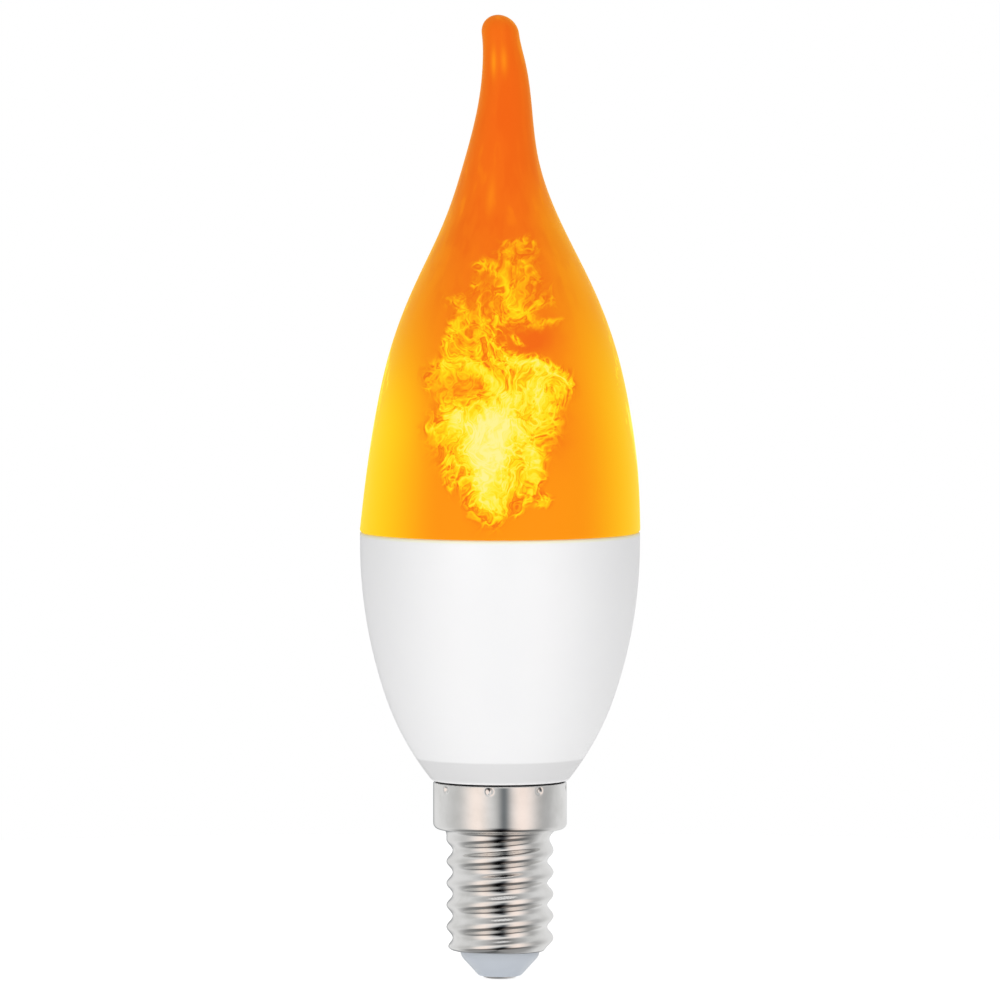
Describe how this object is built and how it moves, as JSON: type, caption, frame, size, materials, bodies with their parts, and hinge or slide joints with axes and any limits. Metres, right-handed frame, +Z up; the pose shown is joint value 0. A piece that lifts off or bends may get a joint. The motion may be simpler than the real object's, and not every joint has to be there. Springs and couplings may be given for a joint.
{
  "type": "candle bulb",
  "caption": "Flame-shaped candle lamp with a tail tip: a glowing translucent cover on a white housing, with a small screw cap, an insulating nose and a centre contact.",
  "frame": {"origin": "middle of the centre contact's flat face, the lowest point of the lamp", "axes": "+Z up along the lamp's axis from the contact to the tail tip, -Y towards the viewer"},
  "size_m": [0.0361, 0.036, 0.1241],
  "materials": {
    "cover_plastic": "frosted translucent plastic, lit orange from inside",
    "housing_plastic": "satin white moulded plastic",
    "cap_metal": "bright nickel plate on pressed sheet",
    "nose_plastic": "pale blue-grey moulded plastic",
    "contact_metal": "tinned metal",
    "post_plastic": "white moulded plastic",
    "led_board_laminate": "white solder mask",
    "led_chip": "yellow phosphor",
    "driver_board_laminate": "green solder mask",
    "chip_moulding": "black moulding compound",
    "can_sleeve": "dark shrink sleeve on an aluminium can",
    "ferrite": "dark sintered ferrite with a lacquered winding",
    "resistor_lacquer": "lacquered ceramic",
    "wire_sleeve": "coloured wire insulation"
  },
  "bodies": {
    "root": {"flame_cover": "cover_plastic", "housing": "housing_plastic", "screw_cap": "cap_metal", "cap_insulator": "nose_plastic", "centre_contact": "contact_metal", "led_post": "post_plastic", "led_board": "led_board_laminate", "leds": "led_chip", "driver_board": "driver_board_laminate", "rectifier": "chip_moulding", "driver_chip": "chip_moulding", "smoothing_capacitor": "can_sleeve", "choke": "ferrite", "fuse_resistor": "resistor_lacquer", "neutral_lead": "wire_sleeve", "led_leads": "wire_sleeve"}
  },
  "joints": []
}
